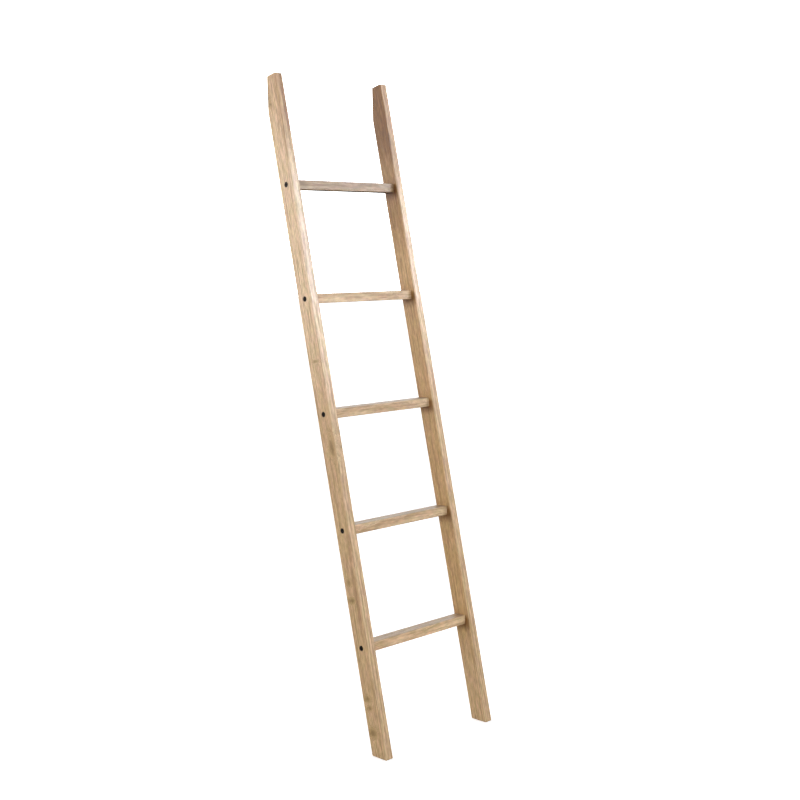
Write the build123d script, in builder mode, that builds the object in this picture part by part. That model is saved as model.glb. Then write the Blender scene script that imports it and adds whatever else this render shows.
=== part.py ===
"""A leaning blanket ladder: two rails, five level rungs and the hardware that joins them.

Millimetres. X runs across the ladder, +Y towards the wall that it leans on, and +Z up. The floor is
at Z = 0, and the origin lies on it under the middle of the ladder's outer box.
"""
from build123d import *
from math import cos, radians, sin, tan
import os

# ---- Rails ----
rail_length = 1962.0  # along the front edge, floor to top
inside_width = 380.0  # clear width between the rails
rail_thickness = 27.0  # across the ladder
rail_depth = 57.0  # front to back, square to the rail
lean_angle = 11.5  # degrees away from upright
wall_cut_length = 98.0  # stretch of the back edge that is cut upright to meet the wall
rail_round = 2.0  # eased edges

# ---- Rungs ----
rung_count = 5
lowest_rung_up = 314.5  # from the floor end of the rail to the lowest bolt
highest_rung_down = 319.5  # from the top end of the rail to the highest bolt
rung_height = 27.0
rung_depth = 37.3
rung_setback = 4.0  # the rung's middle lies this far behind the bolt
rung_round = 1.5

# ---- Connector bolts, M6 with a hexagon socket ----
thread_diameter = 6.0
head_diameter = 14.0
head_height = 4.0
head_chamfer = 0.6
socket_across_flats = 4.0
socket_depth = 2.6
tip_chamfer = 0.8
head_sunk = 1.0  # from the rail's face down to the head
counterbore_clearance = 0.5  # around the head, on the radius
shank_clearance = 0.25  # around the thread, on the radius

# ---- Threaded inserts in the rung ends ----
insert_wall = 2.0
insert_length = 15.0
insert_chamfer = 0.5
bolt_past_insert = 3.0
drill_past_bolt = 2.0

# ---- Dowels ----
dowel_diameter = 8.0
dowel_in_rail = 14.0
dowel_in_rung = 16.0
dowel_end_gap = 1.0  # glue room past each end
dowel_behind_bolt = 13.0
dowel_chamfer = 0.8
flute_count = 10
flute_radius = 0.5

# ---- Worked out from the sizes above ----
lean = radians(lean_angle)
overall_width = inside_width + 2 * rail_thickness
overall_depth = (rail_length - wall_cut_length) * sin(lean) + rail_depth * cos(lean)
rung_pitch = (rail_length - lowest_rung_up - highest_rung_down) / (rung_count - 1)
thread_radius = thread_diameter / 2
head_radius = head_diameter / 2
dowel_radius = dowel_diameter / 2
insert_radius = thread_radius + insert_wall
counterbore_depth = head_height + head_sunk
bolt_in_rung = insert_length + bolt_past_insert
shank_length = rail_thickness - counterbore_depth + bolt_in_rung
sides = {"left": -1, "right": 1}


def on_rail(along, back):
    """(Y, Z) of a point: its distance along the rail's front edge, and square back from it."""
    y = along * sin(lean) + back * cos(lean) - overall_depth / 2
    z = along * cos(lean) - back * sin(lean)
    return (y, z)


def joint_points():
    """(Y, Z) of the bolts' axes, which lie on the middle of the rail's depth, from the lowest up."""
    return [on_rail(lowest_rung_up + i * rung_pitch, rail_depth / 2) for i in range(rung_count)]


def facing(x, y, z, direction):
    """Plane at a point, facing along +X or -X, with its own X along the row's Y."""
    return Plane(origin=(x, y, z), x_dir=(0, 1, 0), z_dir=(direction, 0, 0))


def save(part, label):
    """Name a finished piece and write its STEP file."""
    part.label = label
    export_step(part, f"parts/{label}.step")


def make_rail(side_name):
    """A rail: level foot, square top, upright cut where it meets the wall, and the joints' holes."""
    side = sides[side_name]
    inner_face = side * inside_width / 2
    outer_face = side * overall_width / 2
    outline = [
        on_rail(0, 0),
        on_rail(rail_depth * tan(lean), rail_depth),
        on_rail(rail_length - wall_cut_length, rail_depth),
        on_rail(rail_length, rail_depth - wall_cut_length * tan(lean)),
        on_rail(rail_length, 0),
    ]
    with BuildPart() as rail:
        with BuildSketch(Plane.YZ.offset(inner_face)):
            with BuildLine():
                Polyline(*outline, close=True)
            make_face()
        extrude(amount=side * rail_thickness)
        start_of_wall_cut = rail.edges().filter_by(Axis.X).sort_by(Axis.Z)[2:3]
        fillet(rail.edges() - start_of_wall_cut, radius=rail_round)
        with Locations(*[facing(outer_face, y, z, side) for y, z in joint_points()]):
            CounterBoreHole(
                radius=thread_radius + shank_clearance,
                counter_bore_radius=head_radius + counterbore_clearance,
                counter_bore_depth=counterbore_depth,
                depth=rail_thickness,
            )
        with Locations(*[facing(inner_face, y + dowel_behind_bolt, z, -side) for y, z in joint_points()]):
            Hole(radius=dowel_radius, depth=dowel_in_rail + dowel_end_gap)
    save(rail.part, f"{side_name}_rail")


def make_rung(number, y, z):
    """A level rung with eased long edges, and bores for the inserts, bolts and dowels at its ends."""
    with BuildPart() as rung:
        with BuildSketch(facing(-inside_width / 2, y + rung_setback, z, 1)) as section:
            Rectangle(rung_depth, rung_height)
            fillet(section.vertices(), radius=rung_round)
        extrude(amount=inside_width)
        with Locations(*[facing(side * inside_width / 2, y, z, side) for side in sides.values()]):
            CounterBoreHole(
                radius=thread_radius + shank_clearance,
                counter_bore_radius=insert_radius,
                counter_bore_depth=insert_length,
                depth=bolt_in_rung + drill_past_bolt,
            )
        dowel_y = y + dowel_behind_bolt
        with Locations(*[facing(side * inside_width / 2, dowel_y, z, side) for side in sides.values()]):
            Hole(radius=dowel_radius, depth=dowel_in_rung + dowel_end_gap)
    save(rung.part, f"rung_{number}")


def make_bolt(side_name, number, y, z):
    """A connector bolt: flat head with a hexagon socket, and a shank that ends past the insert."""
    side = sides[side_name]
    seat = facing(side * (overall_width / 2 - counterbore_depth), y, z, side)
    with BuildPart() as bolt:
        with BuildSketch(seat):
            Circle(head_radius)
        extrude(amount=head_height)
        rim = bolt.edges().filter_by(GeomType.CIRCLE).sort_by(Axis.X)[0 if side < 0 else -1]
        chamfer(rim, length=head_chamfer)
        with BuildSketch(seat):
            Circle(thread_radius)
        extrude(amount=-shank_length)
        tip = bolt.edges().filter_by(GeomType.CIRCLE).sort_by(Axis.X)[-1 if side < 0 else 0]
        chamfer(tip, length=tip_chamfer)
        with BuildSketch(seat.offset(head_height)):
            RegularPolygon(radius=socket_across_flats / 2, side_count=6, major_radius=False)
        extrude(amount=-socket_depth, mode=Mode.SUBTRACT)
    save(bolt.part, f"{side_name}_bolt_{number}")


def make_insert(side_name, number, y, z):
    """A threaded insert: a sleeve flush with the rung's end, chamfered at its inner end."""
    side = sides[side_name]
    with BuildPart() as insert:
        with BuildSketch(facing(side * inside_width / 2, y, z, -side)):
            Circle(insert_radius)
            Circle(thread_radius, mode=Mode.SUBTRACT)
        extrude(amount=insert_length)
        inner_end = insert.faces().filter_by(Axis.X).sort_by(Axis.X)[-1 if side < 0 else 0]
        chamfer(inner_end.outer_wire().edges(), length=insert_chamfer)
    save(insert.part, f"{side_name}_insert_{number}")


def make_dowel(side_name, number, y, z):
    """A fluted dowel, half in the rail and half in the rung, with chamfered ends."""
    side = sides[side_name]
    start = facing(side * (inside_width / 2 + dowel_in_rail), y + dowel_behind_bolt, z, -side)
    with BuildPart() as dowel:
        with BuildSketch(start):
            Circle(dowel_radius)
        extrude(amount=dowel_in_rail + dowel_in_rung)
        chamfer(dowel.edges().filter_by(GeomType.CIRCLE), length=dowel_chamfer)
        with BuildSketch(start):
            with PolarLocations(dowel_radius, flute_count):
                Circle(flute_radius)
        extrude(amount=dowel_in_rail + dowel_in_rung, mode=Mode.SUBTRACT)
    save(dowel.part, f"{side_name}_dowel_{number}")


os.makedirs("parts", exist_ok=True)
for name in sides:
    make_rail(name)
for position, (joint_y, joint_z) in enumerate(joint_points(), start=1):
    make_rung(position, joint_y, joint_z)
    for name in sides:
        make_bolt(name, position, joint_y, joint_z)
        make_insert(name, position, joint_y, joint_z)
        make_dowel(name, position, joint_y, joint_z)
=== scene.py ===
"""Looks of the leaning blanket ladder: timber rails and rungs, black connector bolts, studio.

Everything is in metres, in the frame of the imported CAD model: X across the ladder, +Y towards the
wall that it leans on, +Z up, with the floor at Z = 0. Timber pieces are worked out in a board's own
directions (u and v across the section, w along the grain) and then placed in that frame.
"""
import logging
from dataclasses import dataclass, field, replace
from enum import Enum
from math import cos, pi, radians, sin, tan

import bpy
import numpy as np
from mathutils import Matrix, Vector


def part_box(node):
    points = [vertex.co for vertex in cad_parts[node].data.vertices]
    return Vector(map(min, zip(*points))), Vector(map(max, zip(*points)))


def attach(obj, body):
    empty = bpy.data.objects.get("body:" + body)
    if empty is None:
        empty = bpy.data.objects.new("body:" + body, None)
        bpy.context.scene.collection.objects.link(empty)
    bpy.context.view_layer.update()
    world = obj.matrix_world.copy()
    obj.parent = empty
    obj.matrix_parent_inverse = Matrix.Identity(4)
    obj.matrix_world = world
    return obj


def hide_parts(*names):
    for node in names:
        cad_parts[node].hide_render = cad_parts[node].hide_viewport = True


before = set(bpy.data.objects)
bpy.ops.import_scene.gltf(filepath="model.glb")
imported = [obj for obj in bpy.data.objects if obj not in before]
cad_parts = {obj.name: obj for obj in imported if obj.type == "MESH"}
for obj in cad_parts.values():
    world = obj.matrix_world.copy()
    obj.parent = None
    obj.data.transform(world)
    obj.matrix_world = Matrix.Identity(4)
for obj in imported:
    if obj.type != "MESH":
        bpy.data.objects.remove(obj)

log = logging.getLogger("ladder")
MM = 0.001
TURN = 2 * pi
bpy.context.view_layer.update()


class Side(Enum):
    """Which side of the ladder a piece belongs to, as the sign of its X."""

    LEFT = -1
    RIGHT = 1

    @property
    def word(self) -> str:
        """The side as it is written in node names."""
        return self.name.lower()


# ---------------------------------------------------------------------------
# Node graph helpers
# ---------------------------------------------------------------------------
Socket = bpy.types.NodeSocket
Triple = tuple[float, float, float]


@dataclass
class Graph:
    """A thin writer of shader nodes, so that a finish reads as a list of steps."""

    tree: bpy.types.NodeTree

    def node(self, kind: str, **settings: object) -> bpy.types.Node:
        """Add one node.

        Args:
            kind: the node's Blender type.
            **settings: properties to set on it.
        Returns:
            The new node.
        """
        made = self.tree.nodes.new(kind)
        for name, value in settings.items():
            setattr(made, name, value)
        return made

    def feed(self, socket: Socket, value: object) -> None:
        """Link a socket to an input, or write a plain value on it."""
        if isinstance(value, Socket):
            self.tree.links.new(value, socket)
        else:
            socket.default_value = value

    def math(self, operation: str, a: object, b: object = 0.0, clamp: bool = False) -> Socket:
        """Combine two numbers with a Math node."""
        made = self.node("ShaderNodeMath", operation=operation, use_clamp=clamp)
        self.feed(made.inputs[0], a)
        self.feed(made.inputs[1], b)
        return made.outputs[0]

    def times(self, a: object, b: object, clamp: bool = False) -> Socket:
        """The product of two numbers."""
        return self.math("MULTIPLY", a, b, clamp)

    def one_less(self, value: object) -> Socket:
        """What is left of one when a number is taken from it."""
        return self.math("SUBTRACT", 1.0, value)

    def vector(self, operation: str, a: object, b: object = (0.0, 0.0, 0.0)) -> Socket:
        """Combine two vectors with a Vector Math node; a length comes out as a number."""
        made = self.node("ShaderNodeVectorMath", operation=operation)
        self.feed(made.inputs[0], a)
        self.feed(made.inputs[1], b)
        return made.outputs["Value" if operation == "LENGTH" else "Vector"]

    def parts(self, vector: Socket) -> tuple[Socket, Socket, Socket]:
        """The three components of a vector."""
        made = self.node("ShaderNodeSeparateXYZ")
        self.feed(made.inputs[0], vector)
        return made.outputs[0], made.outputs[1], made.outputs[2]

    def joined(self, x: object, y: object, z: object) -> Socket:
        """A vector from three numbers."""
        made = self.node("ShaderNodeCombineXYZ")
        for socket, value in zip(made.inputs, (x, y, z)):
            self.feed(socket, value)
        return made.outputs[0]

    def noise(self, place: Socket, stretch: Triple, detail: float = 2.0) -> bpy.types.Node:
        """Noise whose cells are 1/stretch metres in each direction.

        Args:
            place: the coordinates, in metres.
            stretch: cells per metre along each axis.
            detail: octaves of finer noise.
        Returns:
            The noise node, with the outputs Fac and Color.
        """
        made = self.node("ShaderNodeTexNoise", noise_dimensions="3D")
        self.feed(made.inputs["Vector"], self.vector("MULTIPLY", place, stretch))
        made.inputs["Scale"].default_value = 1.0
        made.inputs["Detail"].default_value = detail
        return made

    def shake(self, place: Socket, stretch: Triple, detail: float) -> Socket:
        """A random vector round zero at each place, with the noise's own cells and detail."""
        return self.vector("SUBTRACT", self.noise(place, stretch, detail).outputs["Color"], (0.5, 0.5, 0.5))

    def ramp(self, value: object, low: object, high: object) -> Socket:
        """A number carried smoothly from the range low to high onto 0 to 1, and held at its ends."""
        made = self.node("ShaderNodeMapRange", interpolation_type="SMOOTHSTEP", clamp=True)
        self.feed(made.inputs["Value"], value)
        self.feed(made.inputs["From Min"], low)
        self.feed(made.inputs["From Max"], high)
        return made.outputs["Result"]

    def mix(self, share: object, a: object, b: object, blend: str = "MIX") -> Socket:
        """Mix two colours by a share from 0 to 1."""
        made = self.node("ShaderNodeMix", data_type="RGBA", blend_type=blend)
        for socket, value in zip((made.inputs[0], made.inputs[6], made.inputs[7]), (share, a, b)):
            self.feed(socket, value)
        return made.outputs[2]

    def bump(self, height: Socket, strength: float, distance: float) -> Socket:
        """A normal tilted by a height.

        Args:
            height: the height, where 1 stands for the distance.
            strength: how strongly the normal tilts.
            distance: the relief's depth in metres.
        Returns:
            The normal.
        """
        made = self.node("ShaderNodeBump")
        made.inputs["Strength"].default_value = strength
        made.inputs["Distance"].default_value = distance
        self.feed(made.inputs["Height"], height)
        return made.outputs["Normal"]

    def attribute(self, name: str) -> bpy.types.Node:
        """Read one of the mesh's own attributes."""
        return self.node("ShaderNodeAttribute", attribute_type="GEOMETRY", attribute_name=name)

    def group(self, tree: bpy.types.NodeTree, **inputs: object) -> bpy.types.Node:
        """Place a node group; an input's underscores stand for spaces.

        Args:
            tree: the group.
            **inputs: what each of its inputs is fed.
        Returns:
            The group node.
        """
        made = self.node("ShaderNodeGroup", node_tree=tree)
        for name, value in inputs.items():
            self.feed(made.inputs[name.replace("_", " ")], value)
        return made


def new_material(name: str) -> tuple[bpy.types.Material, Graph, bpy.types.Node]:
    """Start a material.

    Args:
        name: the material's name.
    Returns:
        The material, its graph and its surface shader.
    """
    made = bpy.data.materials.new(name)
    made.use_nodes = True
    return made, Graph(made.node_tree), made.node_tree.nodes["Principled BSDF"]


def new_group(name: str, inputs: dict[str, str], outputs: dict[str, str]) -> tuple[Graph, dict, dict]:
    """Start a shader node group with named inputs and outputs.

    Args:
        name: the group's name.
        inputs: each input's name and socket type.
        outputs: each output's name and socket type.
    Returns:
        The group's graph, its inputs by name, and its output sockets by name.
    """
    tree = bpy.data.node_groups.new(name, "ShaderNodeTree")
    for title, kind in inputs.items():
        tree.interface.new_socket(title, in_out="INPUT", socket_type=kind)
    for title, kind in outputs.items():
        tree.interface.new_socket(title, in_out="OUTPUT", socket_type=kind)
    graph = Graph(tree)
    entry = graph.node("NodeGroupInput")
    leave = graph.node("NodeGroupOutput")
    return graph, {n: entry.outputs[n] for n in inputs}, {n: leave.inputs[n] for n in outputs}


NUMBER, VECTOR = "NodeSocketFloat", "NodeSocketVector"


@dataclass(frozen=True)
class SharedEffects:
    """Node groups that more than one finish uses, each built once."""

    rings: bpy.types.NodeTree
    fibres: bpy.types.NodeTree
    knot: bpy.types.NodeTree
    rubbed: bpy.types.NodeTree
    joint: bpy.types.NodeTree

    @staticmethod
    def build() -> "SharedEffects":
        """Build every shared group."""
        return SharedEffects(rings_group(), fibres_group(), knot_group(), rubbed_group(), joint_group())


def rings_group() -> bpy.types.NodeTree:
    """Growth rings of a log that the board was sawn from.

    The distance from the log's pith line, which wanders slowly along the board, is divided by the
    ring spacing. Its fraction runs from a ring's porous early wood to its dense late wood, and
    each whole ring has a tone of its own.

    Returns:
        The node group.
    """
    g, given, out = new_group(
        "growth_rings",
        {"Place": VECTOR, "Pith": VECTOR, "Spacing": NUMBER, "Wander": NUMBER},
        {"Early": NUMBER, "Late": NUMBER, "Ring Tone": NUMBER},
    )
    place = given["Place"]
    slow = g.shake(place, (7.0, 7.0, 1.3), 1.0)
    quick = g.shake(place, (70.0, 70.0, 9.0), 2.0)
    shift = g.vector("ADD", slow, g.vector("MULTIPLY", quick, (0.08, 0.08, 0.0)))
    scaled = g.node("ShaderNodeVectorMath", operation="SCALE")
    g.feed(scaled.inputs[0], shift)
    g.feed(scaled.inputs["Scale"], given["Wander"])
    moved = g.vector("SUBTRACT", g.vector("ADD", place, scaled.outputs[0]), given["Pith"])
    radius = g.vector("LENGTH", g.vector("MULTIPLY", moved, (1.0, 1.0, 0.0)))
    count = g.math("DIVIDE", radius, given["Spacing"])
    part = g.math("FRACT", count)
    ring_random = g.node("ShaderNodeTexWhiteNoise", noise_dimensions="1D")
    g.feed(ring_random.inputs["W"], g.math("FLOOR", count))
    early, late = g.one_less(g.ramp(part, 0.05, 0.45)), g.ramp(part, 0.35, 0.97)
    g.feed(out["Early"], g.times(early, g.ramp(part, 0.0, 0.05)))
    g.feed(out["Late"], g.times(late, g.one_less(g.ramp(part, 0.97, 1.0))))
    g.feed(out["Ring Tone"], ring_random.outputs["Value"])
    return g.tree


def fibres_group() -> bpy.types.NodeTree:
    """Fibres, lines, brown streaks, open pores and patches of hue, all drawn out along the grain.

    Returns:
        The node group, whose outputs all run from 0 to 1: Fibre is the finest grain, Line and
        Streak are dark lines, Mottle and Patch are short blotches, Hue tells green from pink, and
        Pore is a mask.
    """
    g, given, out = new_group(
        "long_fibres",
        {"Place": VECTOR, "Pore Share": NUMBER},
        {name: NUMBER for name in ("Fibre", "Line", "Mottle", "Streak", "Pore", "Patch", "Hue")},
    )
    place = given["Place"]
    fibre = g.noise(place, (1500.0, 1500.0, 36.0), 3.0).outputs["Fac"]
    line = g.noise(place, (360.0, 360.0, 21.0), 4.0).outputs["Fac"]
    mottle = g.noise(place, (150.0, 150.0, 52.0), 4.0).outputs["Fac"]
    streak = g.noise(place, (170.0, 170.0, 12.0), 3.0)
    pore = g.noise(place, (2300.0, 2300.0, 110.0), 1.0).outputs["Fac"]
    patch = g.noise(place, (75.0, 75.0, 24.0), 4.0)
    g.feed(out["Fibre"], fibre)
    g.feed(out["Line"], g.ramp(line, 0.34, 0.66))
    g.feed(out["Mottle"], g.ramp(mottle, 0.33, 0.67))
    g.feed(out["Streak"], g.ramp(streak.outputs["Fac"], 0.49, 0.64))
    threshold = g.math("SUBTRACT", 0.80, g.times(given["Pore Share"], 0.28))
    g.feed(out["Pore"], g.ramp(pore, threshold, g.math("ADD", threshold, 0.08)))
    g.feed(out["Patch"], g.ramp(patch.outputs["Fac"], 0.38, 0.62))
    red, green, _ = g.parts(patch.outputs["Color"])
    g.feed(out["Hue"], g.ramp(g.math("SUBTRACT", red, green), -0.22, 0.22))
    return g.tree


def knot_group() -> bpy.types.NodeTree:
    """A small knot or blemish: the distance from its centre, with Squeeze as its shape.

    Returns:
        The node group: Core and Halo masks, and Push, the distance that rings bend round it.
    """
    g, given, out = new_group(
        "knot",
        {"Place": VECTOR, "Centre": VECTOR, "Radius": NUMBER, "Reach": NUMBER, "Squeeze": VECTOR},
        {"Core": NUMBER, "Halo": NUMBER, "Push": NUMBER},
    )
    radius = given["Radius"]
    wobble = g.shake(given["Place"], (180.0, 180.0, 120.0), 2.0)
    place = g.vector("ADD", given["Place"], g.vector("MULTIPLY", wobble, (0.002, 0.014, 0.010)))
    away = g.vector("SUBTRACT", place, given["Centre"])
    distance = g.vector("LENGTH", g.vector("MULTIPLY", away, given["Squeeze"]))
    halo = g.one_less(g.ramp(distance, g.times(radius, 0.6), given["Reach"]))
    g.feed(out["Core"], g.one_less(g.ramp(distance, g.times(radius, 0.15), radius)))
    g.feed(out["Halo"], halo)
    g.feed(out["Push"], g.times(g.times(halo, radius), 1.6))
    return g.tree


def rubbed_group() -> bpy.types.NodeTree:
    """Where handling has rubbed an eased edge: the edge mask broken up by noise.

    Returns:
        The node group, with the output Rubbed from 0 to 1.
    """
    g, given, out = new_group(
        "rubbed_edge", {"Place": VECTOR, "Edge": NUMBER, "Amount": NUMBER}, {"Rubbed": NUMBER}
    )
    broken = g.ramp(g.noise(given["Place"], (160.0, 160.0, 40.0), 3.0).outputs["Fac"], 0.35, 0.65)
    strong = g.math("POWER", given["Edge"], 1.5)
    share = g.times(strong, g.math("ADD", 0.35, g.times(broken, 0.65)))
    g.feed(out["Rubbed"], g.times(share, given["Amount"], clamp=True))
    return g.tree


def joint_group() -> bpy.types.NodeTree:
    """Painted shade on a rail, close round each level rung's end, and painted shade in and round each bolt's
    hole.

    The place along the rail is wrapped to the nearest joint, turned level, and its distance from
    the rung's rectangle gives the shade, which is weaker above the rung than below it. The ring
    is 1 inside the bolt's hole and fades just outside its rim.

    Returns:
        The node group, with the outputs Shade and Ring from 0 to 1.
    """
    names = ("First", "Pitch", "Cosine", "Sine", "Setback", "Half Depth", "Half Height", "Reach", "Hole")
    g, given, out = new_group(
        "joint_shade", {"Place": VECTOR, **{name: NUMBER for name in names}},
        {"Shade": NUMBER, "Ring": NUMBER},
    )
    _, v, w = g.parts(given["Place"])
    half = g.times(given["Pitch"], 0.5)
    wrapped = g.node("ShaderNodeMath", operation="WRAP")
    g.feed(wrapped.inputs[0], g.math("SUBTRACT", w, given["First"]))
    g.feed(wrapped.inputs[1], half)
    g.feed(wrapped.inputs[2], g.times(half, -1.0))
    near = wrapped.outputs[0]
    back = g.math("ADD", g.times(v, given["Cosine"]), g.times(near, given["Sine"]))
    up = g.math("SUBTRACT", g.times(near, given["Cosine"]), g.times(v, given["Sine"]))
    behind = g.math("ABSOLUTE", g.math("SUBTRACT", back, given["Setback"]))
    level = g.math("SUBTRACT", behind, given["Half Depth"])
    rise = g.math("SUBTRACT", g.math("ABSOLUTE", up), given["Half Height"])
    distance = g.vector("LENGTH", g.joined(g.math("MAXIMUM", level), g.math("MAXIMUM", rise), 0.0))
    uneven = g.noise(given["Place"], (140.0, 140.0, 60.0), 2.0).outputs["Fac"]
    reach = g.times(given["Reach"], g.math("ADD", 0.6, g.times(uneven, 0.8)))
    shade = g.math("SUBTRACT", 1.0, g.math("DIVIDE", distance, reach), clamp=True)
    above = g.times(g.ramp(up, 0.0, 12.0 * MM), 0.6)
    # Painted shade beside and below the rung's end, weaker above it.
    g.feed(out["Shade"], g.times(g.math("POWER", shade, 0.8), g.one_less(above)))
    # Painted shade in the bolt's counterbore, fading just outside its rim.
    rim = g.math("SUBTRACT", g.vector("LENGTH", g.joined(v, near, 0.0)), given["Hole"])
    g.feed(out["Ring"], g.one_less(g.ramp(rim, 0.1 * MM, 0.9 * MM)))
    return g.tree


# ---------------------------------------------------------------------------
# Finishes
# ---------------------------------------------------------------------------
Colour = tuple[float, float, float, float]
BOARD_PLACE = "board_place"
MARKS = "board_marks"
WORN_EDGE = "worn_edge"


@dataclass(frozen=True)
class Knot:
    """A knot or blemish on a board.

    Its centre is u and v across the section and w along the board, and all sizes are in metres.
    The squeeze multiplies distances from the centre along u, v and w, so more than 1 is shorter.
    """

    centre: Triple
    radius: float
    reach: float
    strength: float = 0.8
    squeeze: Triple = (0.35, 1.0, 0.6)


@dataclass(frozen=True)
class ToneZone:
    """A stretch of a board whose colour is multiplied, to make it browner or paler.

    Some zones are blotches of browner wood, some are painted sheen, paler and bluer where the
    lamps' sheen lies on a rail, and some darken a face towards the rail's top. Its mask rises
    between the first two of four places and falls between the last two, both along w and across
    the section along u or v.
    """

    colour: Colour
    strength: float
    along: tuple[float, float, float, float]
    across: tuple[float, float, float, float] = (-1.0, -0.9, 0.9, 1.0)
    axis: str = "v"


@dataclass(frozen=True)
class Joints:
    """Where the rungs meet a rail, for the painted shade round their ends and in the bolts' holes.

    The inner sign is the sign of u at the rail's inner face, and the sizes are in metres. The
    shade rises over face_fade towards that face. Along the rail it rises over begin_before, which
    are distances below the first joint, and it ends over end_at, which are places along the rail.
    """

    first: float
    pitch: float
    lean: float
    setback: float
    half_depth: float
    half_height: float
    inner_sign: float
    hole_radius: float
    reach: float = 0.026
    strength: float = 1.0
    # Colours of the painted shade round the rungs' ends and of the painted shade in the bolts' holes.
    colour: Colour = (0.46, 0.33, 0.20, 1.0)
    hole_shade_colour: Colour = (0.16, 0.12, 0.09, 1.0)
    face_fade: tuple[float, float] = (0.0095, 0.0125)
    begin_before: tuple[float, float] = (0.12, 0.08)
    end_at: tuple[float, float] = (1.74, 1.78)


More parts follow.
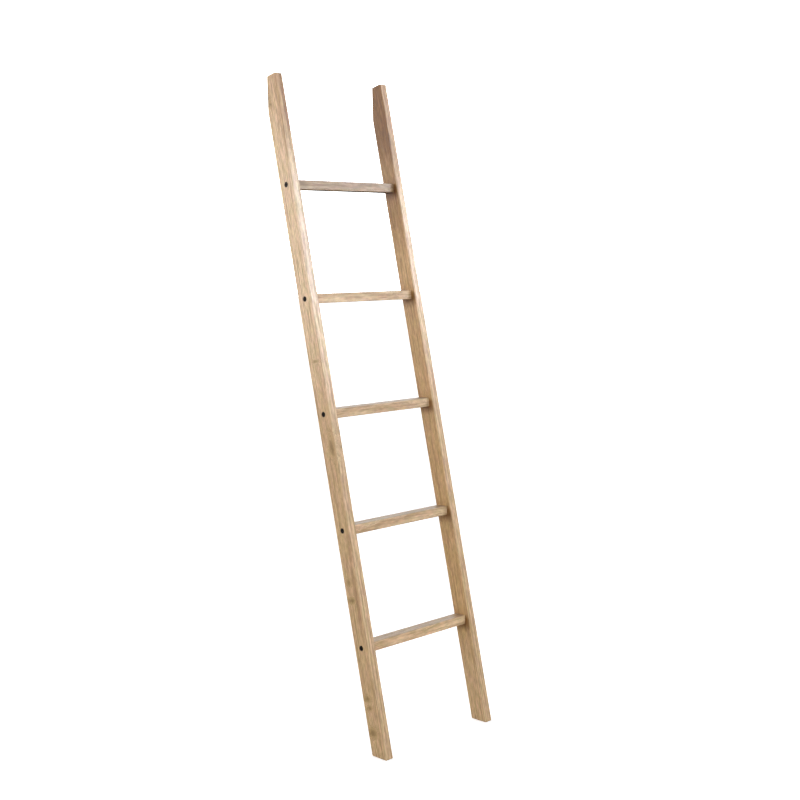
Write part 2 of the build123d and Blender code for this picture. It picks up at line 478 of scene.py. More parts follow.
@dataclass(frozen=True)
class Timber:
    """A pale open-grained hardwood under a thin matt finish.

    The contrasts and shares say how strongly each effect darkens or tints the wood.
    """

    name: str
    pale: Colour = (0.68, 0.492, 0.290, 1.0)
    deep: Colour = (0.41, 0.262, 0.130, 1.0)
    warm: Colour = (0.585, 0.395, 0.215, 1.0)
    streak: Colour = (0.33, 0.195, 0.105, 1.0)
    green_cast: Colour = (0.985, 1.01, 0.93, 1.0)
    pink_cast: Colour = (1.02, 0.985, 1.03, 1.0)
    pore: Colour = (0.25, 0.15, 0.085, 1.0)
    knot_brown: Colour = (0.17, 0.105, 0.036, 1.0)
    knot_halo: Colour = (0.38, 0.255, 0.10, 1.0)
    rubbed: Colour = (0.72, 0.56, 0.38, 1.0)
    end_grain: Colour = (0.36, 0.225, 0.125, 1.0)
    pith: Triple = (0.045, 0.085, 0.0)
    ring_spacing: float = 0.0045
    wander: float = 0.030
    ring_contrast: float = 0.70
    ring_tone_contrast: float = 0.25
    line_contrast: float = 0.48
    patch_share: float = 0.5
    streak_contrast: float = 0.62
    plain_light: float = 0.80
    fibre_light: float = 0.26
    mottle_light: float = 0.24
    pore_share: float = 0.6
    halo_share: float = 0.9
    end_grain_share: float = 0.55
    rubbed_amount: float = 0.22
    roughness: float = 0.46
    specular: float = 0.4
    relief_strength: float = 0.45
    relief_depth: float = 0.18 * MM
    knots: tuple[Knot, ...] = ()
    zones: tuple[ToneZone, ...] = ()
    joints: Joints | None = None

    def joint_masks(self, g: Graph, board: Socket, effects: SharedEffects) -> tuple[Socket, Socket]:
        """The masks of the painted shade round the rungs' ends and in the bolts' holes.

        Args:
            g: the material's graph.
            board: board coordinates.
            effects: the shared node groups.
        Returns:
            The shade on the inner face, up to the joints' strength, and the ring round a hole.
        """
        joints = self.joints
        placed = g.group(
            effects.joint, Place=board, First=joints.first, Pitch=joints.pitch, Cosine=cos(joints.lean),
            Sine=sin(joints.lean), Setback=joints.setback, Half_Depth=joints.half_depth,
            Half_Height=joints.half_height, Reach=joints.reach, Hole=joints.hole_radius,
        )
        u, _, w = g.parts(board)
        inner = g.ramp(g.times(u, joints.inner_sign), *joints.face_fade)
        begun = g.ramp(w, *(joints.first - before for before in joints.begin_before))
        rungs_only = g.times(begun, g.one_less(g.ramp(w, *joints.end_at)))
        shade = g.times(g.times(placed.outputs["Shade"], inner), joints.strength)
        return g.times(shade, rungs_only), g.times(placed.outputs["Ring"], rungs_only)

    def zone_mask(self, g: Graph, place: Socket, zone: ToneZone) -> Socket:
        """The mask of one tone zone.

        Args:
            g: the material's graph.
            place: board coordinates.
            zone: the zone.
        Returns:
            A number from 0 to the zone's strength.
        """
        axes = dict(zip("uvw", g.parts(place)))
        mask = zone.strength
        for value, (start, full, fade, end) in ((axes["w"], zone.along), (axes[zone.axis], zone.across)):
            rise = g.ramp(value, start, full)
            fall = g.one_less(g.ramp(value, fade, end))
            mask = g.times(mask, g.times(rise, fall))
        return mask

    def material(self, effects: SharedEffects) -> bpy.types.Material:
        """Build the material.

        Args:
            effects: the shared node groups.
        Returns:
            A material that reads the board's own coordinates and marks.
        """
        made, g, surface = new_material(self.name)
        board = g.attribute(BOARD_PLACE).outputs["Vector"]
        edge, cut_end, tone = g.parts(g.attribute(MARKS).outputs["Vector"])

        bent, blemishes = board, []
        for knot in self.knots:
            placed = g.group(
                effects.knot, Place=board, Centre=knot.centre, Radius=knot.radius,
                Reach=knot.reach, Squeeze=knot.squeeze,
            )
            bent = g.vector("ADD", bent, g.joined(placed.outputs["Push"], placed.outputs["Push"], 0.0))
            blemishes.append((knot, placed))

        rings = g.group(
            effects.rings, Place=bent, Pith=self.pith, Spacing=self.ring_spacing, Wander=self.wander
        )
        fibres = g.group(effects.fibres, Place=bent, Pore_Share=rings.outputs["Early"])
        late = g.times(rings.outputs["Late"], self.ring_contrast)
        line = g.times(fibres.outputs["Line"], self.line_contrast)
        ring_tone = g.times(rings.outputs["Ring Tone"], self.ring_tone_contrast)
        dark = g.math("ADD", g.math("ADD", late, line), ring_tone, clamp=True)
        colour = g.mix(dark, self.pale, self.deep)
        colour = g.mix(g.times(fibres.outputs["Patch"], self.patch_share), colour, self.warm)
        colour = g.mix(g.times(fibres.outputs["Streak"], self.streak_contrast), colour, self.streak)
        cast = g.mix(fibres.outputs["Hue"], self.green_cast, self.pink_cast)
        colour = g.mix(1.0, colour, cast, "MULTIPLY")
        light = g.math("ADD", self.plain_light, g.times(fibres.outputs["Fibre"], self.fibre_light))
        light = g.math("ADD", light, g.times(fibres.outputs["Mottle"], self.mottle_light))
        # The tone mark holds each board's tone and, on a rung's top face, painted shade.
        light = g.times(light, tone)
        colour = g.mix(1.0, colour, g.joined(light, light, light), "MULTIPLY")
        colour = g.mix(g.times(fibres.outputs["Pore"], self.pore_share), colour, self.pore)
        # Tone zones: browner blotches, painted sheen, and faces darkened towards a rail's top.
        for zone in self.zones:
            colour = g.mix(self.zone_mask(g, self.wobbled(g, board), zone), colour, zone.colour, "MULTIPLY")
        # Painted shade round the rungs' ends and in the bolts' counterbores.
        if self.joints:
            shade, ring = self.joint_masks(g, board, effects)
            colour = g.mix(shade, colour, self.joints.colour, "MULTIPLY")
            colour = g.mix(ring, colour, self.joints.hole_shade_colour, "MULTIPLY")
        for knot, placed in blemishes:
            halo = g.times(placed.outputs["Halo"], self.halo_share * knot.strength)
            colour = g.mix(halo, colour, self.knot_halo)
            colour = g.mix(g.times(placed.outputs["Core"], knot.strength), colour, self.knot_brown)
        colour = g.mix(g.times(cut_end, self.end_grain_share), colour, self.end_grain)
        rubbed = g.group(effects.rubbed, Place=board, Edge=edge, Amount=self.rubbed_amount).outputs["Rubbed"]
        g.feed(surface.inputs["Base Color"], g.mix(rubbed, colour, self.rubbed))

        rough = g.math("ADD", self.roughness - 0.05, g.times(fibres.outputs["Line"], 0.1))
        rough = g.math("ADD", rough, g.times(fibres.outputs["Pore"], 0.2))
        g.feed(surface.inputs["Roughness"], g.math("SUBTRACT", rough, g.times(rubbed, 0.12)))
        surface.inputs["Specular IOR Level"].default_value = self.specular

        relief = g.math("SUBTRACT", g.times(fibres.outputs["Fibre"], 0.35), fibres.outputs["Pore"])
        relief = g.math("ADD", relief, g.times(rings.outputs["Late"], 0.25))
        g.feed(surface.inputs["Normal"], g.bump(relief, self.relief_strength, self.relief_depth))
        return made

    def wobbled(self, g: Graph, place: Socket) -> Socket:
        """Board coordinates with an uneven shift, so that a zone's border isn't ruled."""
        shift = g.vector("MULTIPLY", g.shake(place, (90.0, 90.0, 18.0), 3.0), (0.010, 0.018, 0.16))
        return g.vector("ADD", place, shift)


@dataclass(frozen=True)
class BlackSteel:
    """Blackened steel of the connector bolts: near black, satin, worn bright along its edges."""

    name: str = "black_steel"
    black: Colour = (0.003, 0.0026, 0.0022, 1.0)
    brown: Colour = (0.011, 0.0085, 0.007, 1.0)
    bare: Colour = (0.20, 0.19, 0.18, 1.0)

    def material(self, effects: SharedEffects) -> bpy.types.Material:
        """Build the material.

        Args:
            effects: the shared node groups.
        Returns:
            The material.
        """
        made, g, surface = new_material(self.name)
        place = g.node("ShaderNodeTexCoord").outputs["Object"]
        edge = g.attribute(WORN_EDGE).outputs["Fac"]
        cloud = g.noise(place, (400.0, 400.0, 400.0), 3.0).outputs["Fac"]
        grain = g.noise(place, (5200.0, 5200.0, 5200.0), 2.0).outputs["Fac"]
        rubbed = g.group(effects.rubbed, Place=place, Edge=edge, Amount=0.6).outputs["Rubbed"]
        colour = g.mix(g.ramp(cloud, 0.35, 0.7), self.black, self.brown)
        g.feed(surface.inputs["Base Color"], g.mix(rubbed, colour, self.bare))
        g.feed(surface.inputs["Metallic"], g.times(rubbed, 0.9))
        surface.inputs["Specular IOR Level"].default_value = 0.12
        rough = g.math("ADD", 0.30, g.times(cloud, 0.2))
        g.feed(surface.inputs["Roughness"], g.math("SUBTRACT", rough, g.times(rubbed, 0.12)))
        g.feed(surface.inputs["Normal"], g.bump(grain, 0.25, 0.03 * MM))
        return made


@dataclass(frozen=True)
class ZincPlate:
    """Zinc-plated steel of the threaded inserts, faintly yellow and spangled."""

    name: str = "zinc_plate"
    bright: Colour = (0.66, 0.65, 0.61, 1.0)
    dull: Colour = (0.46, 0.45, 0.40, 1.0)

    def material(self, effects: SharedEffects) -> bpy.types.Material:
        """Build the material.

        Args:
            effects: the shared node groups.
        Returns:
            The material.
        """
        made, g, surface = new_material(self.name)
        place = g.node("ShaderNodeTexCoord").outputs["Object"]
        cloud = g.noise(place, (300.0, 300.0, 300.0), 3.0).outputs["Fac"]
        edge = g.attribute(WORN_EDGE).outputs["Fac"]
        rubbed = g.group(effects.rubbed, Place=place, Edge=edge, Amount=0.4).outputs["Rubbed"]
        colour = g.mix(g.ramp(cloud, 0.3, 0.7), self.bright, self.dull)
        g.feed(surface.inputs["Base Color"], g.mix(rubbed, colour, self.bright))
        surface.inputs["Metallic"].default_value = 1.0
        g.feed(surface.inputs["Roughness"], g.math("ADD", 0.26, g.times(cloud, 0.25)))
        return made


# ---------------------------------------------------------------------------
# Mesh helpers
# ---------------------------------------------------------------------------
def grid_quads(rows: int, columns: int, loop: bool = False) -> np.ndarray:
    """Faces between neighbouring rows and columns of a grid whose last column meets the first.

    Args:
        rows: number of rows.
        columns: number of columns.
        loop: whether the last row meets the first as well.
    Returns:
        One row of four vertex numbers for each face.
    """
    row, column = np.meshgrid(np.arange(rows if loop else rows - 1), np.arange(columns), indexing="ij")
    beside, above = (column + 1) % columns, (row + 1) % rows
    corners = [(row, column), (row, beside), (above, beside), (above, column)]
    return np.stack([(r * columns + c).ravel() for r, c in corners], axis=1)


def closed_surface(rows: np.ndarray) -> tuple[np.ndarray, list[list[int]]]:
    """A grid of rings closed at both ends by a point at the middle of its first and last ring.

    Args:
        rows: points by row, column and X, Y, Z.
    Returns:
        The vertices and the faces.
    """
    count, columns = rows.shape[:2]
    poles = np.stack([rows[0].mean(axis=0), rows[-1].mean(axis=0)])
    vertices = np.concatenate([rows.reshape(-1, 3), poles])
    here = np.arange(columns)
    beside = (here + 1) % columns
    first, last = np.full(columns, count * columns), np.full(columns, count * columns + 1)
    end = (count - 1) * columns
    faces = grid_quads(count, columns).tolist()
    faces += np.stack([first, beside, here], axis=1).tolist()
    faces += np.stack([last, end + here, end + beside], axis=1).tolist()
    return vertices, faces


def new_piece(name: str, vertices: np.ndarray, faces: list[list[int]]) -> bpy.types.Object:
    """Make a mesh object at the origin and link it to the scene.

    Args:
        name: the object's name.
        vertices: one point for each row, in the row frame.
        faces: vertex numbers of each face.
    Returns:
        The object.
    """
    mesh = bpy.data.meshes.new(name)
    mesh.from_pydata(vertices.tolist(), [], faces)
    mesh.validate()
    made = bpy.data.objects.new(name, mesh)
    bpy.context.scene.collection.objects.link(made)
    return made


def mesh_points(piece: bpy.types.Object) -> np.ndarray:
    """The piece's vertices as an array of rows."""
    points = np.empty(len(piece.data.vertices) * 3, np.float32)
    piece.data.vertices.foreach_get("co", points)
    return points.reshape(-1, 3).astype(float)


def write_attribute(piece: bpy.types.Object, name: str, values: np.ndarray) -> None:
    """Store one number or one vector for each vertex."""
    vector = values.ndim == 2
    stored = piece.data.attributes.new(name, "FLOAT_VECTOR" if vector else "FLOAT", "POINT")
    stored.data.foreach_set("vector" if vector else "value", values.astype(np.float32).ravel())


def finished(piece: bpy.types.Object, material: bpy.types.Material, angle: float) -> bpy.types.Object:
    """Shade a piece smoothly and give it its material.

    Args:
        piece: the piece, with its attributes written.
        material: its only material.
        angle: edges that turn by more than this stay sharp.
    Returns:
        The same piece.
    """
    piece.data.polygons.foreach_set("use_smooth", np.ones(len(piece.data.polygons), bool))
    piece.data.set_sharp_from_angle(angle=angle)
    piece.data.materials.clear()
    piece.data.materials.append(material)
    return piece


def cut_away(piece: bpy.types.Object, cutter: bpy.types.Object) -> None:
    """Remove the cutter's volume from the piece, and the cutter from the scene.

    Args:
        piece: the piece, which keeps its name.
        cutter: a closed mesh, which is deleted.
    """
    modifier = piece.modifiers.new("bores", "BOOLEAN")
    modifier.operation = "DIFFERENCE"
    modifier.solver = "EXACT"
    modifier.object = cutter
    bpy.context.view_layer.update()
    shaped = piece.evaluated_get(bpy.context.evaluated_depsgraph_get())
    result = bpy.data.meshes.new_from_object(shaped)
    piece.modifiers.clear()
    old = piece.data
    piece.data = result
    result.name = old.name
    bpy.data.meshes.remove(old)
    bpy.data.objects.remove(cutter)


@dataclass
class Axes:
    """Where a piece's own directions point in the row frame, and where its zero lies."""

    u: np.ndarray
    v: np.ndarray
    w: np.ndarray
    zero: np.ndarray

    def to_row(self, points: np.ndarray) -> np.ndarray:
        """Carry points from the piece's directions to the row frame."""
        return points @ np.stack([self.u, self.v, self.w]) + self.zero

    def from_row(self, points: np.ndarray) -> np.ndarray:
        """Carry points from the row frame to the piece's directions."""
        return (points - self.zero) @ np.stack([self.u, self.v, self.w]).T

    @staticmethod
    def along_x(zero: np.ndarray, side: Side) -> "Axes":
        """Axes with w pointing to that side along X, and u along the row's Y."""
        w = np.array([side.value, 0.0, 0.0])
        u = np.array([0.0, 1.0, 0.0])
        return Axes(u, np.cross(w, u), w, zero)


def turned_surface(radii: np.ndarray, heights: np.ndarray, columns: int) -> np.ndarray:
    """Rings of a turned piece: each row has its own radius and height about w.

    Args:
        radii: one radius for each row, or a radius for each row and column.
        heights: one height for each row.
        columns: points round a ring.
    Returns:
        Points by row, column and u, v, w.
    """
    angle = np.arange(columns) * TURN / columns
    radius = np.broadcast_to(radii.reshape(len(heights), -1), (len(heights), columns))
    height = np.broadcast_to(heights[:, None], radius.shape)
    return np.stack([radius * np.cos(angle), radius * np.sin(angle), height], axis=-1)


# ---------------------------------------------------------------------------
# Timber pieces
# ---------------------------------------------------------------------------
@dataclass(frozen=True)
class Bore:
    """A stepped round hole: steps of (depth of the step's floor, radius), from the mouth down."""

    mouth: Triple
    side: Side
    steps: tuple[tuple[float, float], ...]
    flare: float = 0.25 * MM
    columns: int = 48

    def surface(self) -> tuple[np.ndarray, list[list[int]]]:
        """The bore's closed cutter, which starts a millimetre outside its mouth.

        Returns:
            Its vertices in the row frame, and its faces.
        """
        radii, heights = [self.steps[0][1] + self.flare], [1.0 * MM]
        radii.append(self.steps[0][1] + self.flare)
        heights.append(0.0)
        depth = self.flare
        for floor, radius in self.steps:
            radii += [radius, radius]
            heights += [-depth, -floor]
            depth = floor
        radii.reverse()
        heights.reverse()
        rings = turned_surface(np.array(radii), np.array(heights), self.columns)
        points, faces = closed_surface(rings)
        return Axes.along_x(np.array(self.mouth), self.side).to_row(points), faces


def cutter_of(bores: list[Bore], name: str) -> bpy.types.Object:
    """One cutting object that holds every bore's volume.

    Args:
        bores: the bores.
        name: the object's name.
    Returns:
        The cutter.
    """
    vertices, faces, start = [], [], 0
    for bore in bores:
        points, quads = bore.surface()
        vertices.append(points)
        faces += [[n + start for n in face] for face in quads]
        start += len(points)
    return new_piece(name, np.concatenate(vertices), faces)


@dataclass
class Board:
    """A sawn and sanded piece of timber with a rounded rectangular section.

    The section's half sizes are along u and v, and w runs along the grain from 0 to length. Its
    four long edges are eased by hand, so that the easing varies along each one, its faces wave
    slightly inwards from the true plane, and a few small dents lie along its edges. Its wood has
    one tone, and its top face keeps only a share of it as painted shade; each wave is a wavelength,
    turns and a weight.
    """

    name: str
    half_u: float
    half_v: float
    length: float
    easing: float
    axes: Axes
    seed: int
    step: float = 3.0 * MM
    end_easing: float = 1.5 * MM
    wave: float = 0.12 * MM
    dents: int = 12
    tone: float = 1.0
    top_painted_shade: float = 1.0
    grain_shift: Triple = (0.0, 0.0, 0.0)
    bores: list[Bore] = field(default_factory=list)

    CELLS_U = 8
    CELLS_V = 14
    ARC_CELLS = 5
    EDGE_CELL = 0.02
    CAP_RINGS = 5
    WAVES = ((0.61, 1, 1.0), (0.37, 2, 0.8), (0.171, 3, 0.5), (0.083, 5, 0.3), (0.029, 2, 0.2))

    def section(self) -> tuple[np.ndarray, np.ndarray]:
        """The section as corner shares and outward directions, counter-clockwise.

        A point lies at share * (half size - easing) + direction * easing, in u and in v. On a
        corner's arc the share is fixed at that corner and the direction turns; on a straight side
        the direction is fixed and the share runs from one corner to the next.

        Returns:
            Shares and directions, each one row of u and v for each point.
        """
        shares, directions = [], []
        corners = [(1, -1), (1, 1), (-1, 1), (-1, -1)]
        for number, corner in enumerate(corners):
            start = (number - 1) * pi / 2
            turn = start + np.linspace(0, pi / 2, self.ARC_CELLS + 1)
            directions.append(np.stack([np.cos(turn), np.sin(turn)], axis=1))
            shares.append(np.tile(corner, (len(turn), 1)).astype(float))
            following = corners[(number + 1) % 4]
            cells = self.CELLS_U if corner[0] != following[0] else self.CELLS_V
            inner = np.linspace(self.EDGE_CELL, 1 - self.EDGE_CELL, cells)[:, None]
            shares.append(np.array(corner) * (1 - inner) + np.array(following) * inner)
            directions.append(np.tile(directions[-1][-1], (cells, 1)))
        return np.concatenate(shares), np.concatenate(directions)

    def stations(self) -> tuple[np.ndarray, np.ndarray, np.ndarray]:
        """The grid's rows: where each lies along w, how far it is inset, and its share of size.

        The end faces are rings that shrink to the middle, and a quarter circle of insets eases
        their edges.

        Returns:
            Three arrays of one number for each row.
        """
        rings = np.linspace(0.12, 0.96, self.CAP_RINGS)
        turn = np.linspace(0, pi / 2, self.ARC_CELLS)[:-1]
        rise, inset = self.end_easing * (1 - np.cos(turn)), self.end_easing * (1 - np.sin(turn))
        body = np.linspace(self.end_easing, self.length - self.end_easing, self.body_rows())
        along = np.concatenate([0 * rings, rise, body, self.length - rise[::-1], 0 * rings + self.length])
        full = 0 * rings + self.end_easing
        insets = np.concatenate([full, inset, 0 * body, inset[::-1], full])
        ones = np.ones(len(turn) * 2 + len(body))
        return along, insets, np.concatenate([rings, ones, rings[::-1]])

    def body_rows(self) -> int:
        """How many rows the length needs at the board's step."""
        return int(round(self.length / self.step)) + 1

    def ripple(self, along: np.ndarray, around: np.ndarray, random: np.random.Generator) -> np.ndarray:
        """Smooth random height from 0 to 1: the sum of slow waves along and round the board.

        Args:
            along: places along the board, in metres.
            around: places round the section, as angles.
            random: the board's own random numbers.
        Returns:
            One height for each pair of places.
        """
        total = np.zeros(np.broadcast(along, around).shape)
        for wavelength, turns, weight in self.WAVES:
            phase = random.uniform(0, TURN)
            total = total + weight * np.sin(TURN * along / wavelength + turns * around + phase)
        return 0.5 + 0.5 * total / sum(weight for _, _, weight in self.WAVES)

    def limits(self, along: np.ndarray) -> tuple[np.ndarray, np.ndarray]:
        """The section's middle and half size in v at each row; a plain board keeps its section."""
        return np.zeros_like(along), np.full_like(along, self.half_v)

    def slant(self, along: np.ndarray, v: np.ndarray) -> np.ndarray:
        """How far a point moves along w because an end is cut at a slant; none on a plain board."""
        return np.zeros(np.broadcast(along, v).shape)

    def surface(self) -> np.ndarray:
        """The board's grid: the section carried along w, eased, waved and dented.

        Returns:
            Points by row, column and u, v, w.
        """
        random = np.random.default_rng(self.seed)
        shares, directions = self.section()
        along, inset, size = (a[:, None] for a in self.stations())
        around = np.arange(len(shares)) * TURN / len(shares)
        easing = self.easing * (0.8 + 0.45 * self.ripple(along, 2 * around, random))
        middle, half_v = self.limits(along)
        inward = inset + self.wave * self.ripple(along, around, random)
        u = shares[:, 0] * (self.half_u - easing) + directions[:, 0] * (easing - inward)
        v = shares[:, 1] * (half_v - easing) + directions[:, 1] * (easing - inward)
        points = np.stack([u * size, middle + v * size, np.broadcast_to(along, u.shape)], axis=-1)
        points = self.dented(points, directions, random)
        points[..., 2] += self.slant(along, points[..., 1])
        return points

    def dented(self, points: np.ndarray, directions: np.ndarray, random: np.random.Generator) -> np.ndarray:
        """Press small round hollows into the long edges, as bumps in use do.

        Args:
            points: the board's grid, which is changed in place.
            directions: the outward direction of each column.
            random: the board's own random numbers.
        Returns:
            The same grid.
        """
        rows, columns = points.shape[:2]
        for _ in range(self.dents):
            row = random.integers(rows // 12, rows - rows // 12)
            corner = random.integers(0, 4) * (columns // 4) + self.ARC_CELLS // 2
            width = random.uniform(1.6, 4.5) * MM
            deep = random.uniform(0.12, 0.4) * MM
            distance = np.linalg.norm((points - points[row, corner]) / np.array([1.0, 1.0, 1.7]), axis=-1)
            press = deep * np.exp(-((distance / width) ** 2))
            points[..., :2] -= press[..., None] * directions
        return points

    def marks(self, local: np.ndarray) -> np.ndarray:
        """Edge nearness, cut end and tone for each vertex, from its place in the board; the tone holds the
        painted shade of the top face.

        Args:
            local: points as u, v, w.
        Returns:
            One row of the three marks for each point.
        """
        middle, half_v = self.limits(local[:, 2])
        side = np.clip(self.half_u - np.abs(local[:, 0]), 0, None)
        face = np.clip(half_v - np.abs(local[:, 1] - middle), 0, None)
        end = np.minimum(local[:, 2] - self.slant(local[:, 2], local[:, 1]), self.length - local[:, 2])
        end = np.clip(end, 0, None)
        nearest = np.minimum(side + face, np.minimum(side + end, face + end))
        edge = np.exp(-nearest / (2.2 * MM))
        cut = np.clip(1.4 - end / (0.5 * self.end_easing), 0, 1)
        # Painted shade: the top face keeps only the top share of the board's tone, so it reads darker than
        # its sides.
        top = np.clip((local[:, 1] - middle - half_v + 1.2 * MM) / (0.8 * MM), 0, 1)
        tone = self.tone * (1 + (self.top_painted_shade - 1) * top)
        return np.stack([edge, cut, tone], axis=1)

    def build(self, material: bpy.types.Material) -> bpy.types.Object:
        """Make the board's object, drill its bores and write what its finish reads.

        Args:
            material: the timber's material.
        Returns:
            The finished piece.
        """
        points, faces = closed_surface(self.surface())
        piece = new_piece(self.name, self.axes.to_row(points), faces)
        if self.bores:
            cut_away(piece, cutter_of(self.bores, f"{self.name}_cutter"))
        local = self.axes.from_row(mesh_points(piece))
        write_attribute(piece, BOARD_PLACE, local + np.array(self.grain_shift))
        write_attribute(piece, MARKS, self.marks(local))
        return finished(piece, material, radians(38))


@dataclass
class RailBoard(Board):
    """A rail: its foot is cut level, its top is square, and its back is cut upright near the top.

    u runs across the ladder, v from the rail's middle to its back, and w up the rail.
    """

    lean: float = radians(11.5)
    wall_cut: float = 98.0 * MM
    shear_fades_by: float = 160.0 * MM
    corner_softness: float = 0.8 * MM

    def limits(self, along: np.ndarray) -> tuple[np.ndarray, np.ndarray]:
        """The section's middle and half size in v; the upright cut takes wood off the back."""
        past = along - (self.length - self.wall_cut)
        past = 0.5 * (past + np.sqrt(past**2 + self.corner_softness**2))
        taken = past * tan(self.lean)
        return -taken / 2, self.half_v - taken / 2

    def slant(self, along: np.ndarray, v: np.ndarray) -> np.ndarray:
        """The level foot: a point at the back starts further up the rail than one in front."""
        fade = np.clip(1 - along / self.shear_fades_by, 0, 1)
        return (v + self.half_v) * tan(self.lean) * fade**2 * (3 - 2 * fade)


@dataclass
class LadderFrame:
    """The ladder's two rails and five rungs, sized and placed by the CAD boxes."""

    rail_length: float = 1962.0 * MM
    end_trim: float = 0.01 * MM
    rail_depth: float = 57.0 * MM
    lean: float = radians(11.5)
    wall_cut: float = 98.0 * MM
    rung_count: int = 5
    rung_setback: float = 4.0 * MM
    dowel_behind_bolt: float = 13.0 * MM
    dowel_radius: float = 4.0 * MM
    dowel_hole_in_rail: float = 15.0 * MM
    dowel_hole_in_rung: float = 17.0 * MM
    counterbore: tuple[float, float] = (5.0 * MM, 7.5 * MM)
    shank_hole_radius: float = 3.25 * MM
    insert_hole: tuple[float, float] = (15.0 * MM, 5.0 * MM)
    bolt_hole_in_rung: float = 20.0 * MM
    rung_flare: float = 0.05 * MM
    # Painted shade: the share of its tone that a rung's top face keeps, darker than its front.
    rung_top_painted_shade: float = 0.64

    def rung_middle(self, number: int) -> np.ndarray:
        """The middle of a rung's CAD box."""
        low, high = (np.array(corner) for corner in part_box(f"rung_{number}"))
        return (low + high) / 2

    def bolt_axis(self, number: int) -> np.ndarray:
        """A point on the axis of the bolts at a rung, at the middle of the ladder."""
        return self.rung_middle(number) - np.array([0.0, self.rung_setback, 0.0])

    def dowel_axis(self, number: int) -> np.ndarray:
        """A point on the axis of the dowels at a rung, at the middle of the ladder."""
        return self.bolt_axis(number) + np.array([0.0, self.dowel_behind_bolt, 0.0])

    def rail_axes(self, side: Side) -> Axes:
        """A rail's own axes in the row frame.

        Args:
            side: which rail.
        Returns:
            Axes with u across the ladder, v to the rail's back, w up it and zero at its foot.
        """
        low, high = (np.array(corner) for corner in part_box(f"{side.word}_rail"))
        up = np.array([0.0, sin(self.lean), cos(self.lean)])
        back = np.array([0.0, cos(self.lean), -sin(self.lean)])
        wall_cut_start = (self.rail_length - self.wall_cut) * up[1] + self.rail_depth * back[1]
        foot = np.array([(low[0] + high[0]) / 2, high[1] - wall_cut_start, 0.0])
        return Axes(np.array([1.0, 0.0, 0.0]), back, up, foot + back * self.rail_depth / 2)

    def joints(self, side: Side) -> Joints:
        """Where the rungs meet a rail, in that rail's own coordinates.

        Args:
            side: which rail.
        Returns:
            The joints' places and the rungs' section.
        """
        low, high = (np.array(corner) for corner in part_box("rung_1"))
        axes = self.rail_axes(side)
        first, last = self.bolt_axis(1), self.bolt_axis(self.rung_count)
        pitch = float(np.linalg.norm(last - first)) / (self.rung_count - 1)
        along = float(np.dot(first - axes.zero, axes.w))
        return Joints(
            first=along, pitch=pitch, lean=self.lean, setback=self.rung_setback,
            half_depth=float(high[1] - low[1]) / 2, half_height=float(high[2] - low[2]) / 2,
            inner_sign=-1.0 if side is Side.RIGHT else 1.0, hole_radius=self.counterbore[1],
        )

    def rail(self, side: Side) -> RailBoard:
        """One rail, with the counterbores, bolt holes and dowel holes of its joints.

        Args:
            side: which rail.
        Returns:
            The board, ready to build.
        """
        low, high = (np.array(corner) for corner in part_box(f"{side.word}_rail"))
        thickness = high[0] - low[0]
        outer = high[0] if side is Side.RIGHT else low[0]
        inner = low[0] if side is Side.RIGHT else high[0]
        inward = Side.LEFT if side is Side.RIGHT else Side.RIGHT
        bores = []
        for number in range(1, self.rung_count + 1):
            _, y, z = self.bolt_axis(number)
            steps = (self.counterbore, (thickness + 1.0 * MM, self.shank_hole_radius))
            bores.append(Bore((outer, y, z), side, steps))
            _, y, z = self.dowel_axis(number)
            bores.append(Bore((inner, y, z), inward, ((self.dowel_hole_in_rail, self.dowel_radius),)))
        return RailBoard(
            name=f"{side.word}_rail_timber", half_u=thickness / 2, half_v=self.rail_depth / 2,
            length=self.rail_length - self.end_trim, easing=2.0 * MM, end_easing=2.35 * MM,
            seed=11 + side.value, axes=self.rail_axes(side), bores=bores, lean=self.lean,
            wall_cut=self.wall_cut, dents=16,
        )

    def rung(self, number: int, tone: float) -> Board:
        """One rung, with the bores for its inserts, bolts and dowels.

        Args:
            number: the rung's number, from 1 at the bottom.
            tone: how light its wood is.
        Returns:
            The board, ready to build.
        """
        low, high = (np.array(corner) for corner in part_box(f"rung_{number}"))
        middle = (low + high) / 2
        bores = []
        for side, x in ((Side.LEFT, low[0]), (Side.RIGHT, high[0])):
            _, y, z = self.bolt_axis(number)
            steps = (self.insert_hole, (self.bolt_hole_in_rung, self.shank_hole_radius))
            bores.append(Bore((x, y, z), side, steps, self.rung_flare))
            _, y, z = self.dowel_axis(number)
            steps = ((self.dowel_hole_in_rung, self.dowel_radius),)
            bores.append(Bore((x, y, z), side, steps, self.rung_flare))
        axes = Axes.along_x(np.array([low[0], middle[1], middle[2]]), Side.RIGHT)
        return Board(
            name=f"rung_{number}_timber", half_u=(high[1] - low[1]) / 2, half_v=(high[2] - low[2]) / 2,
            length=high[0] - low[0], easing=1.5 * MM, end_easing=0.25 * MM, seed=40 + number, axes=axes,
            wave=0.10 * MM, dents=4, tone=tone, top_painted_shade=self.rung_top_painted_shade,
            grain_shift=(0.31 * number, 0.07 * number, 0.9 * number), bores=bores,
        )


# ---------------------------------------------------------------------------
# Hardware
# ---------------------------------------------------------------------------
@dataclass
class Thread:
    """A screw thread as a function of the height along its axis and the angle round it.

    The wave is a rounded triangle, 0 at the crest and 1 at the root, of height over pitch less the
    angle's share of a turn. It fades out at both ends of the threaded length.
    """

    pitch: float
    depth: float
    start: float
    end: float
    fade: float

    def cut(self, heights: np.ndarray, columns: int) -> np.ndarray:
        """Depth of the thread's groove at each row and column.

        Args:
            heights: one height for each row.
            columns: points round the axis.
        Returns:
            Depths by row and column.
        """
        angle = np.arange(columns) / columns
        phase = heights[:, None] / self.pitch - angle
        triangle = 2 * np.abs(phase - np.floor(phase) - 0.5)
        wave = np.clip(triangle * 1.25 - 0.125, 0, 1)
        rise = np.clip((heights - self.start) / self.fade, 0, 1)
        fall = np.clip((self.end - heights) / self.fade, 0, 1)
        return self.depth * wave * (rise * fall)[:, None]


